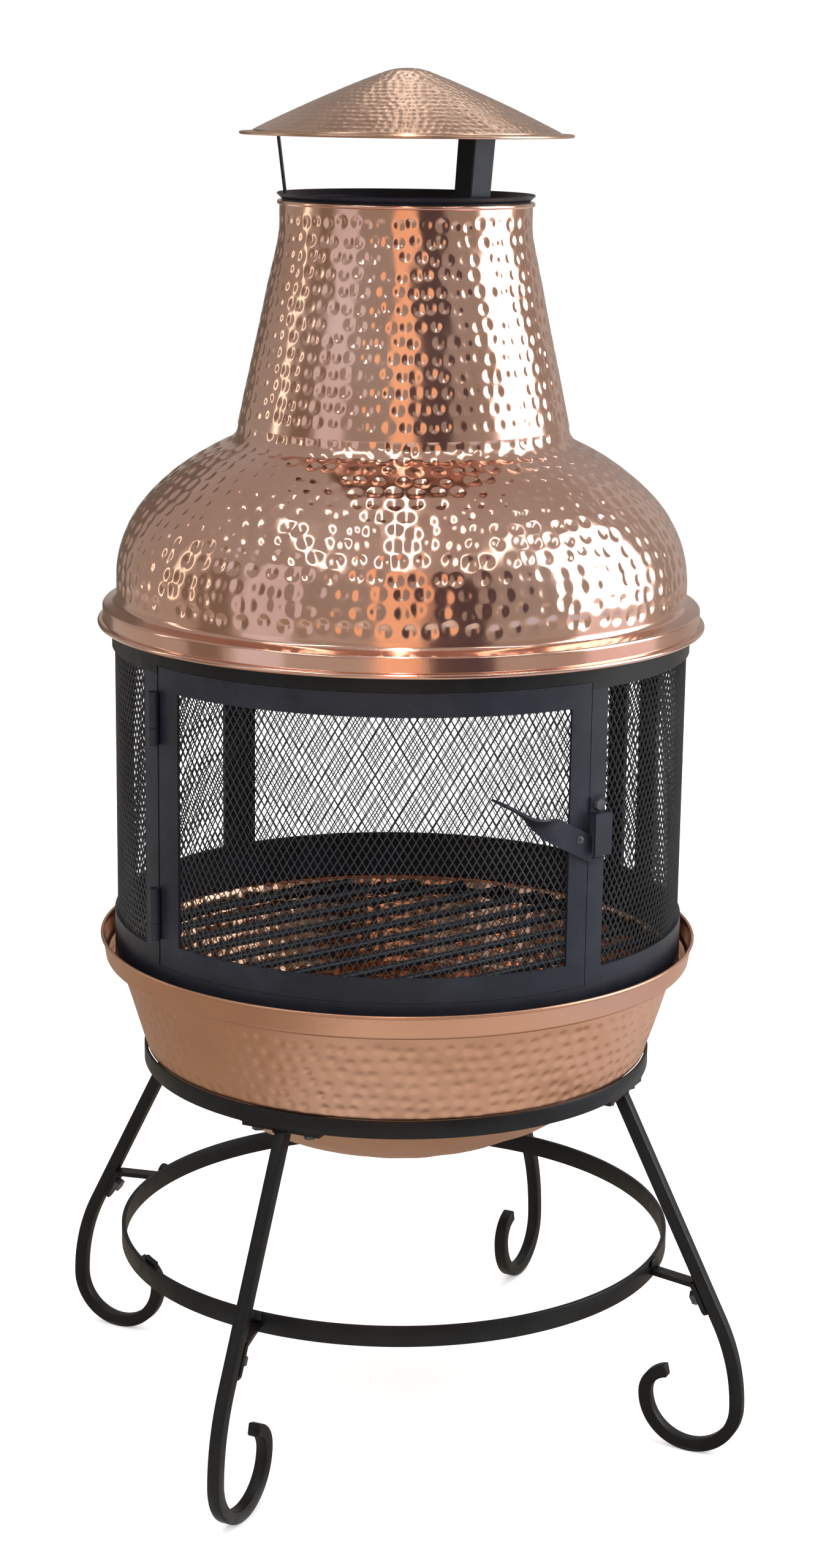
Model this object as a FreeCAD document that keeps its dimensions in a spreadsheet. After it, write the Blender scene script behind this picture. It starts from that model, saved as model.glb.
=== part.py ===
import FreeCAD, Part
import math
import os

from FreeCAD import Placement, Rotation, Vector

# A copper garden chiminea in lift-apart pieces: a scrolled steel stand, a hammered bowl, a grate,
# a cylindrical mesh fire screen with a hinged door, and a hammered hood with its flue and rain cap.
# Millimetres, +Z up, origin on the ground at the centre of the stand, door towards -Y.
# An azimuth is an angle in plan, counted from -Y towards +X.

DIMENSIONS = {
    # stand
    "stand_ring_radius": 257.8, "stand_ring_wall": 3, "stand_ring_top": 388, "stand_ring_height": 17.5,
    "leg_section": 12.7, "leg_slope": 27, "leg_azimuth": -25.5,
    "leg_outer_reach": 382.2, "leg_bow_radius": 195, "scroll_radius": 48.5, "curl_radius": 26,
    "curl_sweep": 80,
    "plate_length": 83, "plate_width": 16, "plate_wall": 4, "plate_centre": 246,
    "plate_bolt_circle": 246.6, "plate_bolt_spread": 28,
    "brace_ring_radius": 283, "brace_ring_wall": 4.5, "brace_ring_base": 170.5, "brace_ring_height": 20.5,
    "splice_wall": 4, "splice_height": 25,
    "arm_width": 14, "arm_wall": 5, "arm_base": 177, "arm_tail": 36, "arm_bolt_drop": 6,
    "stand_bolt_radius": 3, "brace_bolt_radius": 4, "bolt_clearance": 0.3,
    # bowl
    "copper_wall": 1.5, "bowl_rim_radius": 300.8, "bowl_rim_top": 506, "bowl_lip_roll": 1.8,
    "bowl_band_radius": 296, "bowl_ledge_level": 481, "bowl_wall_radius": 282.5,
    "bowl_heel_radius": 254.5, "bowl_heel_level": 388, "bowl_bottom_level": 278,
    # grate
    "grate_ring_radius": 268, "grate_rod_radius": 4, "grate_level": 470, "grate_pitch": 40,
    "grate_turn": 38,
    # fire screen
    "screen_radius": 286, "screen_bar_wall": 3, "screen_base": 483.2, "screen_base_top": 530,
    "screen_ring_base": 799, "screen_top": 841.6, "door_notch_low": 513.6, "door_notch_high": 806.4,
    "mesh_radius": 282.8, "mesh_wall": 1, "mesh_base": 518, "mesh_top": 812,
    "hinge_jamb_start": -57.7, "hinge_jamb_end": -52.95, "latch_jamb_start": 38.26, "latch_jamb_end": 42.3,
    # door
    "door_start": -52.45, "door_stile_end": -46.6, "door_latch_stile": 33.6, "door_end": 38.1,
    "door_base": 514, "door_sill_top": 537.5, "door_head_base": 783.5, "door_top": 806,
    "pin_azimuth": -52.7, "pin_radius_in_plan": 291.1, "pin_radius": 3, "pin_clearance": 0.06,
    "knuckle_radius": 5, "knuckle_length": 34, "sleeve_length": 17, "knuckle_gap": 0.4,
    "upper_hinge_base": 731, "lower_hinge_base": 540,
    # latch
    "latch_azimuth": 35.3, "latch_level": 659.5, "lever_stand_off": 289, "lever_wall": 2.5,
    "lever_width": 23.6, "lever_drop": 3.1, "lever_slope": 27.5, "lever_nose": 34,
    "lever_handle": 127, "lever_bend": 11.5, "lever_flare": 25.5,
    "lever_twist": 92, "lever_twist_start": 22, "lever_twist_end": 86,
    "lever_notch": 14.2, "lever_notch_floor": -20.3, "lever_tip": 29.9,
    "rivet_radius": 2.5, "rivet_clearance": 0.08, "rivet_head_radius": 4.6, "rivet_head_height": 2.8,
    "keeper_azimuth": 39.9, "keeper_wall": 2.5, "keeper_width": 17.5, "keeper_reach": 13.2,
    "keeper_plate_base": 643, "keeper_web": 681, "keeper_leaf_top": 697, "keeper_overhang": 3.5,
    # hood, flue and cap
    "hood_roll_radius": 300, "hood_roll_level": 823.3, "hood_roll_size": 2.5, "hood_band_radius": 295,
    "hood_band_top": 840.5, "hood_ledge_top": 845.5, "hood_ledge_fillet": 6, "hood_band_fillet": 2.8,
    "dome_radius": 281.3, "dome_rise": 166, "dome_level": 868, "cone_foot_radius": 161.8,
    "cone_foot_level": 1017, "cone_slope": 12.3, "flue_radius": 121.8, "flue_top": 1228,
    "flue_bead_size": 2.4,
    "collar_radius": 119.2, "collar_wall": 1.75, "collar_base": 1150, "collar_neck": 1231,
    "collar_lip_radius": 124.5, "collar_lip_top": 1236,
    "strap_width": 22, "strap_wall": 2.5, "strap_base": 1172, "strap_bend": 1231.5,
    "strap_top": 1304.1, "strap_foot_radius": 114.4, "strap_lean": 7, "strap_tab": 26,
    "cap_slope": 25.3,
    "cap_rim_radius": 160.4, "cap_rim_level": 1292.4, "cap_crown_radius": 147, "cap_crown_level": 1295.6,
    "cap_shoulder_radius": 86.8, "cap_shoulder_level": 1324, "cap_tip_radius": 22,
    "cap_tip_level": 1350.4, "cap_apex": 1354, "cap_roll": 1.6,
}
# Legs in order of azimuth, and how far each one's arm is swung about its leg, in degrees.
LEGS = (("front", 13), ("right", -14), ("rear", 0), ("left", 11))
# Upright flat bars behind the mesh: name, first azimuth, last azimuth.
POSTS = (("left", -104.8, -97.0), ("rear_left", -146.3, -138.2),
         ("rear_right", 122.6, 128.3), ("right", 109.8, 117.6))
# Mesh sheets: name, first azimuth, last azimuth.
MESH_SHEETS = (("left", -142.2, -54.5), ("rear", 125.6, 217.6), ("right", 39.4, 125.4))
STRAP_AZIMUTHS = (("left", -90), ("front", 36), ("rear", 150))
BRACE_SPLICE = (-63.2, -58.6)
MUCH = 60

doc = FreeCAD.newDocument("chiminea")
sheet = doc.addObject("Spreadsheet::Sheet", "dims")
for row, (alias, value) in enumerate(DIMENSIONS.items(), start=1):
    sheet.set(f"A{row}", alias.replace("_", " "))
    sheet.set(f"B{row}", str(value))
    sheet.setAlias(f"B{row}", alias)
doc.recompute()

nodes = {}


def size(alias):
    """The value of one cell of the sheet."""
    return float(sheet.get(alias))


def cell(alias):
    """The same cell, as a term of an expression."""
    return f"dims.{alias}"


def bind(thing, **terms):
    for prop, term in terms.items():
        thing.setExpression(prop.replace("__", "."), term)


def add(kind, label, **terms):
    thing = doc.addObject(kind, label)
    thing.Label = label
    bind(thing, **terms)
    return thing


def node(label, thing):
    """Makes an object of the document one named sub-part."""
    thing.Label = label
    nodes[label] = thing
    return thing


def heading(azimuth, radius=0.0, level=0.0):
    """Local +X points out along an azimuth and local +Y towards growing azimuths."""
    angle = math.radians(azimuth)
    place = Vector(radius * math.sin(angle), -radius * math.cos(angle), level)
    return Placement(place, Rotation(Vector(0, 0, 1), azimuth - 90))


def fuse(label, pieces):
    thing = add("Part::MultiFuse", label)
    thing.Shapes = pieces
    return thing


def group(label, pieces):
    """Identical pieces that share one node, as separate solids."""
    thing = add("Part::Compound", label)
    thing.Links = pieces
    return thing


def cut(label, base, tool):
    thing = add("Part::Cut", label)
    thing.Base = base
    thing.Tool = tool
    return thing


def band(label, outer, inner, base, height, span=None):
    """A flat bar bent to a circle: a full ring, or an arc between two azimuths. Terms are expressions."""
    full = add("Part::Cylinder", label + "_outer", Radius=outer, Height=height, Placement__Base__z=base)
    hole = add("Part::Cylinder", label + "_inner", Radius=inner, Height=height, Placement__Base__z=base)
    if span:
        full.Angle = span[1] - span[0]
        full.Placement = heading(span[0])
        bind(full, Placement__Base__z=base)
    return cut(label, full, hole)


def screen_bar(label, base, top, span=None):
    """A flat bar of the fire screen's own radius and wall."""
    outer = cell("screen_radius")
    return band(label, outer, f"{outer} - dims.screen_bar_wall", base, f"{top} - {base}", span)


def hex_bolt(label, shank_radius, length, placement):
    """Hexagon head on local -Z, shank along local +Z from the head's face."""
    shank = add("Part::Cylinder", label + "_shank", Radius=shank_radius, Height=str(length))
    head = add("Part::Prism", label + "_head", Circumradius=f"{shank_radius} * 1.95",
               Height=f"{shank_radius} * 1.4")
    head.Polygon = 6
    bind(head, Placement__Base__z=f"-({shank_radius} * 1.4)")
    bolt = fuse(label, [shank, head])
    bolt.Placement = placement
    return bolt


def shape_feature(label, shape, placement=None):
    thing = doc.addObject("Part::Feature", label)
    thing.Shape = shape
    if placement:
        thing.Placement = placement
    return thing


def arc(first, middle, last):
    points = [Vector(r, 0, z) for r, z in (first, middle, last)]
    return Part.Arc(*points).toShape()


def polar_arc(edge, pole):
    """From an edge point to the pole of the sphere through both, centred on the Z axis."""
    rise = edge[1] - pole
    radius = (edge[0] ** 2 + rise ** 2) / (2 * abs(rise))
    half = math.asin(edge[0] / radius) / 2
    middle = (radius * math.sin(half), pole + math.copysign(radius * (1 - math.cos(half)), rise))
    return arc(edge, middle, (0, pole))


def eased(corner, before, after, radius):
    """Start, middle and end of the fillet at a corner between two directions of travel, in degrees."""
    before, after = math.radians(before), math.radians(after)
    reach = radius * abs(math.tan((after - before) / 2))
    start = (corner[0] - reach * math.cos(before), corner[1] - reach * math.sin(before))
    end = (corner[0] + reach * math.cos(after), corner[1] + reach * math.sin(after))
    side = math.copysign(radius, after - before)
    centre = (start[0] - side * math.sin(before), start[1] + side * math.cos(before))
    away = math.dist(centre, corner)
    middle = tuple(centre[k] + (corner[k] - centre[k]) * radius / away for k in (0, 1))
    return start, middle, end


def line(first, last):
    return Part.makeLine(Vector(first[0], 0, first[1]), Vector(last[0], 0, last[1]))


def spun_sheet(edges, wall):
    """Sheet metal turned about Z, its outer face along the given edges. A positive wall goes inwards."""
    outline = Part.Wire(edges)
    face = outline.makeOffset2D(wall, 0, True, True, False)
    return face.revolve(Vector(0, 0, 0), Vector(0, 0, 1), 360)


def bead(radius, level, section):
    return Part.makeTorus(radius, section, Vector(0, 0, level), Vector(0, 0, 1))


# ---------------------------------------------------------------- stand

def leg_line(level):
    """Radius of a leg's centre line on its straight run."""
    slope = math.radians(size("leg_slope"))
    run_foot, foot_level = leg_bow_start()
    return run_foot + (foot_level - level) * math.tan(slope)


def scroll_level():
    return size("leg_section") / 2 + size("scroll_radius")


def leg_bow_start():
    """Where the straight run of a leg turns into the bow above its scroll."""
    slope = math.radians(size("leg_slope"))
    bow = size("leg_bow_radius")
    centre = size("leg_outer_reach") - bow
    return centre + bow * math.cos(slope), scroll_level() + bow * math.sin(slope)


def square_arc(label, radius_term, centre, level, start, sweep):
    """Square bar bent to an arc in the local XZ plane, start and sweep counted from +X towards +Z."""
    half = cell("leg_section")
    outer = add("Part::Cylinder", label + "_outer", Radius=f"{radius_term} + {half} / 2", Height=half,
                Angle=sweep)
    inner = add("Part::Cylinder", label + "_inner", Radius=f"{radius_term} - {half} / 2", Height=half)
    turn = Rotation(Vector(1, 0, 0), 90)
    place = Vector(centre, size("leg_section") / 2, level)
    outer.Placement = Placement(place, turn.multiply(Rotation(Vector(0, 0, 1), start)))
    inner.Placement = Placement(place, turn)
    return cut(label, outer, inner)


def build_leg(name, azimuth):
    label = f"leg_{name}"
    section = size("leg_section")
    slope = size("leg_slope")
    foot_radius, foot_level = leg_bow_start()
    top = size("stand_ring_top") - size("stand_ring_height") - size("plate_wall")
    run = (top - foot_level) / math.cos(math.radians(slope))
    straight = add("Part::Box", label + "_run", Length=cell("leg_section"), Width=cell("leg_section"))
    straight.Height = run + section
    tilt = Rotation(Vector(0, 1, 0), -slope)
    offset = tilt.multVec(Vector(-section / 2, -section / 2, 0))
    straight.Placement = Placement(Vector(foot_radius, 0, foot_level) + offset, tilt)
    reach = size("leg_outer_reach")
    scroll_centre = reach - size("scroll_radius")
    curl_centre = scroll_centre - size("scroll_radius") + size("curl_radius")
    bow = square_arc(label + "_bow", cell("leg_bow_radius"), reach - size("leg_bow_radius"),
                     scroll_level(), 0, cell("leg_slope"))
    scroll = square_arc(label + "_scroll", cell("scroll_radius"), scroll_centre, scroll_level(), 180, "180")
    curl = square_arc(label + "_curl", cell("curl_radius"), curl_centre, scroll_level(),
                      180 - size("curl_sweep"), cell("curl_sweep"))
    bar = fuse(label + "_bar", [straight, bow, scroll, curl])
    trim = add("Part::Box", label + "_trim", Placement__Base__z=f"{top}")
    trim.Length = trim.Width = trim.Height = MUCH
    trim.Placement = Placement(Vector(leg_line(top) - MUCH / 2, -MUCH / 2, top), Rotation())
    trimmed = cut(label + "_trimmed", bar, trim)
    bore = add("Part::Cylinder", label + "_bore", Radius="dims.brace_bolt_radius + dims.bolt_clearance / 2")
    bore.Height = section * 0.8
    bore.Placement = brace_bolt_place(0.0)
    leg = cut(label, trimmed, bore)
    leg.Placement = Placement(Vector(0, 0, 0), Rotation(Vector(0, 0, 1), azimuth - 90))
    node(label, leg)


def brace_bolt_place(back):
    """On the inner face of a leg, pointing outwards and square to it, moved back towards the axis."""
    slope = size("leg_slope")
    level = size("arm_base") - size("arm_bolt_drop")
    tilt = Rotation(Vector(0, 1, 0), 90 - slope)
    axis = tilt.multVec(Vector(0, 0, 1))
    centre = Vector(leg_line(level), 0, level)
    return Placement(centre - axis * (size("leg_section") / 2 + back), tilt)


def build_plate(name, azimuth):
    """The tab on top of a leg, under the stand ring, with two bolt holes."""
    label = f"leg_plate_{name}"
    slab = add("Part::Box", label + "_slab", Length=cell("plate_width"), Width=cell("plate_length"),
               Height=cell("plate_wall"))
    slab.Placement = Placement(Vector(-size("plate_width") / 2, -size("plate_length") / 2, 0), Rotation())
    holes = []
    for side in (-1, 1):
        hole = add("Part::Cylinder", f"{label}_hole_{side + 1}",
                   Radius="dims.stand_bolt_radius + dims.bolt_clearance / 2")
        hole.Height = MUCH
        across = size("plate_bolt_circle") - size("plate_centre")
        hole.Placement = Placement(Vector(across, side * size("plate_bolt_spread"), -MUCH / 2), Rotation())
        holes.append(hole)
    plate = cut(label, slab, fuse(label + "_holes", holes))
    level = size("stand_ring_top") - size("stand_ring_height") - size("plate_wall")
    plate.Placement = heading(azimuth, size("plate_centre"), level)
    node(label, plate)


def build_arm(name, azimuth, swing):
    """Flat bar from the brace ring out to a leg, turned down along the leg's inner face."""
    label = f"brace_arm_{name}"
    slope = size("leg_slope")
    wall = size("arm_wall")
    top = size("arm_base") + wall
    normal_gap = size("leg_section") / 2 / math.cos(math.radians(slope))
    bend = leg_line(top) - normal_gap
    corner = size("arm_width") / 2 * math.sin(math.radians(abs(swing)))
    length = (bend - size("brace_ring_radius")) / math.cos(math.radians(swing)) - 2 * corner
    bridge = add("Part::Box", label + "_bridge", Width=cell("arm_width"), Height=cell("arm_wall"))
    bridge.Length = length
    turn = Rotation(Vector(0, 0, 1), swing)
    offset = turn.multVec(Vector(-length - corner, -size("arm_width") / 2, 0))
    bridge.Placement = Placement(Vector(bend, 0, size("arm_base")) + offset, turn)
    tilt = Rotation(Vector(0, 1, 0), 180 - slope)
    tail = add("Part::Box", label + "_tail", Length=cell("arm_wall"), Width=cell("arm_width"),
               Height="dims.arm_tail - dims.arm_width / 2")
    tail.Placement = Placement(Vector(bend, -size("arm_width") / 2, top), tilt)
    tip = add("Part::Cylinder", label + "_tip", Radius="dims.arm_width / 2", Height=cell("arm_wall"))
    end = tilt.multVec(Vector(0, size("arm_width") / 2, size("arm_tail") - size("arm_width") / 2))
    tip.Placement = Placement(Vector(bend, -size("arm_width") / 2, top) + end,
                              tilt.multiply(Rotation(Vector(0, 1, 0), 90)))
    body = fuse(label + "_body", [bridge, tail, tip])
    bore = add("Part::Cylinder", label + "_bore", Radius="dims.brace_bolt_radius + dims.bolt_clearance / 2")
    bore.Height = wall * 4
    bore.Placement = brace_bolt_place(wall * 2)
    arm = cut(label, body, bore)
    arm.Placement = Placement(Vector(0, 0, 0), Rotation(Vector(0, 0, 1), azimuth - 90))
    node(label, arm)


def build_stand():
    node("stand_ring", band("stand_ring", cell("stand_ring_radius"),
                            "dims.stand_ring_radius - dims.stand_ring_wall",
                            "dims.stand_ring_top - dims.stand_ring_height", cell("stand_ring_height")))
    inner = "dims.brace_ring_radius - dims.brace_ring_wall"
    node("brace_ring", band("brace_ring", cell("brace_ring_radius"), inner,
                            cell("brace_ring_base"), cell("brace_ring_height")))
    node("brace_splice", band("brace_splice", inner, f"{inner} - dims.splice_wall",
                              cell("brace_ring_base"), cell("splice_height"), BRACE_SPLICE))
    plate_bolts = []
    brace_bolts = []
    plate_level = size("stand_ring_top") - size("stand_ring_height") - size("plate_wall")
    for index, (name, swing) in enumerate(LEGS):
        azimuth = size("leg_azimuth") + 90 * index
        build_leg(name, azimuth)
        build_plate(name, azimuth)
        build_arm(name, azimuth, swing)
        turn = Placement(Vector(0, 0, 0), Rotation(Vector(0, 0, 1), azimuth - 90))
        for side in (-1, 1):
            spot = Vector(size("plate_bolt_circle"), side * size("plate_bolt_spread"), plate_level)
            plate_bolts.append(hex_bolt(f"plate_bolt_{name}_{side + 1}", cell("stand_bolt_radius"), 6.5,
                                        turn.multiply(Placement(spot, Rotation()))))
        brace_bolts.append(hex_bolt(f"brace_bolt_{name}", cell("brace_bolt_radius"), 13,
                                    turn.multiply(brace_bolt_place(size("arm_wall")))))
    node("leg_plate_bolts", group("leg_plate_bolts", plate_bolts))
    node("brace_bolts", group("brace_bolts", brace_bolts))


# ---------------------------------------------------------------- bowl and grate

def build_bowl():
    rim, top = size("bowl_rim_radius"), size("bowl_rim_top")
    roll = size("bowl_lip_roll")
    band_radius, ledge = size("bowl_band_radius"), size("bowl_ledge_level")
    wall_radius = size("bowl_wall_radius")
    heel = (size("bowl_heel_radius"), size("bowl_heel_level"))
    corner = 4
    diagonal = corner * (1 - math.sqrt(0.5))
    lip = (rim - 2 * roll + size("copper_wall"), top - roll)
    edges = [
        line(lip, (band_radius, ledge + corner)),
        arc((band_radius, ledge + corner), (band_radius - diagonal, ledge + diagonal),
            (band_radius - corner, ledge)),
        line((band_radius - corner, ledge), (wall_radius + corner, ledge)),
        arc((wall_radius + corner, ledge), (wall_radius + diagonal, ledge - diagonal),
            (wall_radius - 0.6, ledge - corner)),
        line((wall_radius - 0.6, ledge - corner), heel),
        polar_arc(heel, size("bowl_bottom_level")),
    ]
    shell = spun_sheet(edges, -size("copper_wall"))
    node("bowl", shape_feature("bowl", shell.fuse(bead(rim - roll, top - roll, roll)).removeSplitter()))


def build_grate():
    rod = size("grate_rod_radius")
    ring = add("Part::Torus", "grate_ring", Radius1=cell("grate_ring_radius"),
               Radius2=cell("grate_rod_radius"), Placement__Base__z=cell("grate_level"))
    node("grate_ring", ring)
    reach = size("grate_ring_radius")
    pitch = size("grate_pitch")
    count = int(reach // pitch)
    turn = Rotation(Vector(0, 0, 1), size("grate_turn"))
    bars = []
    for index in range(-count, count + 1):
        offset = index * pitch
        half = math.sqrt(reach ** 2 - offset ** 2)
        bar = add("Part::Cylinder", f"grate_bar_{index + count}", Radius=cell("grate_rod_radius"))
        bar.Height = 2 * half
        start = turn.multVec(Vector(-half, offset, 0)) + Vector(0, 0, size("grate_level") + 2 * rod)
        bar.Placement = Placement(start, turn.multiply(Rotation(Vector(0, 1, 0), 90)))
        bars.append(bar)
    node("grate_bars", group("grate_bars", bars))


# ---------------------------------------------------------------- fire screen

def notched_ring(label, base, top, notch_base, notch_top):
    """A ring of the screen, cut back over the door's width."""
    ring = screen_bar(label + "_ring", base, top)
    outer = cell("screen_radius")
    tool = band(label + "_notch", f"{outer} + 5", f"{outer} - 10", notch_base,
                f"({notch_top}) - ({notch_base})", (size("hinge_jamb_end"), size("latch_jamb_start")))
    return cut(label, ring, tool)


def build_screen():
    low, high = cell("screen_base_top"), cell("screen_ring_base")
    node("screen_base_ring", notched_ring("screen_base_ring", cell("screen_base"), low,
                                          cell("door_notch_low"), f"{low} + 5"))
    node("screen_top_ring", notched_ring("screen_top_ring", high, cell("screen_top"),
                                         f"{high} - 5", cell("door_notch_high")))
    node("hinge_jamb", screen_bar("hinge_jamb", low, high,
                                  (size("hinge_jamb_start"), size("hinge_jamb_end"))))
    node("latch_jamb", screen_bar("latch_jamb", low, high,
                                  (size("latch_jamb_start"), size("latch_jamb_end"))))
    for name, first, last in POSTS:
        node(f"screen_post_{name}", screen_bar(f"screen_post_{name}", low, high, (first, last)))
    for name, first, last in MESH_SHEETS:
        outer = cell("mesh_radius")
        node(f"mesh_{name}", band(f"mesh_{name}", outer, f"{outer} - dims.mesh_wall", cell("mesh_base"),
                                  "dims.mesh_top - dims.mesh_base", (first, last)))


def tube(label, outer, inner, length, level):
    """A tube on the hinge line."""
    shell = add("Part::Cylinder", label + "_shell", Radius=outer, Height=length)
    hole = add("Part::Cylinder", label + "_hole", Radius=inner, Height=length)
    piece = cut(label, shell, hole)
    piece.Placement = heading(size("pin_azimuth"), size("pin_radius_in_plan"), level)
    return piece


def build_hinges():
    """Two hinges: a sleeve on the jamb below, a knuckle on the door above, and one pin through both."""
    sleeves = []
    knuckles = []
    pins = []
    for name in ("upper", "lower"):
        base = size(f"{name}_hinge_base")
        sleeves.append(tube(f"sleeve_{name}", cell("knuckle_radius"), cell("pin_radius"),
                            cell("sleeve_length"), base))
        knuckles.append(tube(f"knuckle_{name}", cell("knuckle_radius"),
                             "dims.pin_radius + dims.pin_clearance", cell("knuckle_length"),
                             base + size("sleeve_length") + size("knuckle_gap")))
        pin = add("Part::Cylinder", f"pin_{name}", Radius=cell("pin_radius"),
                  Height="dims.sleeve_length + dims.knuckle_length")
        pin.Placement = heading(size("pin_azimuth"), size("pin_radius_in_plan"), base)
        pins.append(pin)
    node("hinge_sleeves", group("hinge_sleeves", sleeves))
    node("hinge_pins", group("hinge_pins", pins))
    node("door_knuckles", group("door_knuckles", knuckles))


def build_keeper():
    """Strip bolted to the latch jamb, turned out and down into a hook that is open below."""
    wall, width = size("keeper_wall"), cell("keeper_width")
    reach = size("keeper_reach")
    half = size("keeper_width") / 2
    leaf = add("Part::Box", "keeper_leaf", Length=cell("keeper_wall"), Width=width,
               Height="dims.keeper_leaf_top - dims.keeper_web")
    leaf.Placement = Placement(Vector(0, -half, size("keeper_web")), Rotation())
    web = add("Part::Box", "keeper_web", Length=cell("keeper_reach"), Width=width,
              Height=cell("keeper_wall"))
    web.Placement = Placement(Vector(0, -half, size("keeper_web")), Rotation())
    plate = add("Part::Box", "keeper_plate", Length=cell("keeper_wall"),
                Width="dims.keeper_width + dims.keeper_overhang",
                Height="dims.keeper_web + dims.keeper_wall - dims.keeper_plate_base")
    plate.Placement = Placement(Vector(reach - wall, -half - size("keeper_overhang"),
                                       size("keeper_plate_base")), Rotation())
    hook = fuse("keeper_hook", [leaf, web, plate])
    hole = add("Part::Cylinder", "keeper_hole", Radius="dims.stand_bolt_radius + dims.bolt_clearance / 2")
    hole.Height = MUCH
    level = (size("keeper_web") + wall + size("keeper_leaf_top")) / 2
    hole.Placement = Placement(Vector(-MUCH / 2, 0, level), Rotation(Vector(0, 1, 0), 90))
    keeper = cut("latch_keeper", hook, hole)
    keeper.Placement = heading(size("keeper_azimuth"), size("screen_radius") + 0.05)
    node("latch_keeper", keeper)
    inward = heading(size("keeper_azimuth"), size("screen_radius") + 0.05 + wall, level)
    bolt = hex_bolt("keeper_bolt", cell("stand_bolt_radius"), wall,
                    inward.multiply(Placement(Vector(0, 0, 0), Rotation(Vector(0, 1, 0), -90))))
    node("keeper_bolt", bolt)


# ---------------------------------------------------------------- door and latch

def build_door():
    base, top = cell("door_base"), cell("door_top")
    sill, head = cell("door_sill_top"), cell("door_head_base")
    whole = (size("door_start"), size("door_end"))
    node("door_sill", screen_bar("door_sill", base, sill, whole))
    node("door_head", screen_bar("door_head", head, top, whole))
    node("door_hinge_stile", screen_bar("door_hinge_stile", sill, head, (whole[0], size("door_stile_end"))))
    stile = screen_bar("door_latch_stile_bar", sill, head, (size("door_latch_stile"), whole[1]))
    hole = add("Part::Cylinder", "door_latch_stile_hole", Radius=cell("rivet_radius"))
    hole.Height = MUCH
    out = heading(size("latch_azimuth"), size("screen_radius") - MUCH / 2, size("latch_level"))
    hole.Placement = out.multiply(Placement(Vector(0, 0, 0), Rotation(Vector(0, 1, 0), 90)))
    node("door_latch_stile", cut("door_latch_stile", stile, hole))
    outer = cell("mesh_radius")
    node("mesh_door", band("mesh_door", outer, f"{outer} - dims.mesh_wall", f"{base} + 6",
                           f"{top} - {base} - 12", (size("door_stile_end") - 3, size("door_latch_stile") + 1)))


def build_rivet():
    """The lever turns on it: a shank through the stile and a domed head outside."""
    reach = size("lever_stand_off") + size("lever_wall") + 0.2
    inner = size("screen_radius") - size("screen_bar_wall") + 0.2
    shank = Part.makeCylinder(size("rivet_radius"), reach - inner + 0.5)
    collar = Part.makeCylinder(size("rivet_radius") + 2.5, size("lever_stand_off") - size("screen_radius") - 0.3)
    collar.translate(Vector(0, 0, size("screen_radius") - inner + 0.1))
    height, radius = size("rivet_head_height"), size("rivet_head_radius")
    dome = (radius ** 2 + height ** 2) / (2 * height)
    head = Part.makeSphere(dome, Vector(0, 0, reach - inner + height - dome))
    head = head.common(Part.makeCylinder(radius, height + 1, Vector(0, 0, reach - inner)))
    out = heading(size("latch_azimuth"), inner, size("latch_level"))
    place = out.multiply(Placement(Vector(0, 0, 0), Rotation(Vector(0, 1, 0), 90)))
    node("latch_rivet", shape_feature("latch_rivet", shank.fuse([collar, head]).removeSplitter(), place))


def lever_axes():
    """Along the strip towards the nose and across it upwards, as (sideways, up) pairs."""
    slope = math.radians(size("lever_slope"))
    return (math.cos(slope), -math.sin(slope)), (math.sin(slope), math.cos(slope))


def lever_spot(along, across):
    """A point of the flat strip in the stile's plane, from the rivet: (sideways, up)."""
    run, rise = lever_axes()
    across -= size("lever_drop")
    return run[0] * along + rise[0] * across, run[1] * along + rise[1] * across


def lever_section(along, turn, lift):
    """The strip's cross section at a distance along it, turned about its middle and lifted outwards."""
    run, rise = lever_axes()
    across = Vector(0, rise[0], rise[1])
    out = Vector(1, 0, 0)
    half_wall = size("lever_wall") / 2
    wide = (across * math.cos(turn) + out * math.sin(turn)) * (size("lever_width") / 2)
    thick = (out * math.cos(turn) - across * math.sin(turn)) * half_wall
    side, up = lever_spot(along, 0)
    centre = Vector(half_wall + lift, side, up)
    corners = [centre - wide - thick, centre + wide - thick, centre + wide + thick, centre - wide + thick]
    return Part.makePolygon(corners + corners[:1])


def lever_blade():
    """The flat end: round the rivet, and a nose cut down to pass under the keeper's plate."""
    half = size("lever_width") / 2
    bend, nose = size("lever_bend"), size("lever_nose")
    side, floor, tip = size("lever_notch"), size("lever_notch_floor"), size("lever_tip")
    low_corner = lever_spot(nose - 6, -half)
    outline = [lever_spot(-bend, -half), low_corner, (tip, low_corner[1] + 5.5), (tip, floor),
               (side, floor), (side, -2), (side - 2.2, 3.4), lever_spot(-bend, half)]
    points = [Vector(0, across, up) for across, up in outline]
    blade = Part.Face(Part.makePolygon(points + points[:1])).extrude(Vector(size("lever_wall"), 0, 0))
    bore = Part.makeCylinder(size("rivet_radius") + size("rivet_clearance"), MUCH,
                             Vector(-MUCH / 2, 0, 0), Vector(1, 0, 0))
    return blade.cut(bore)


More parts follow.
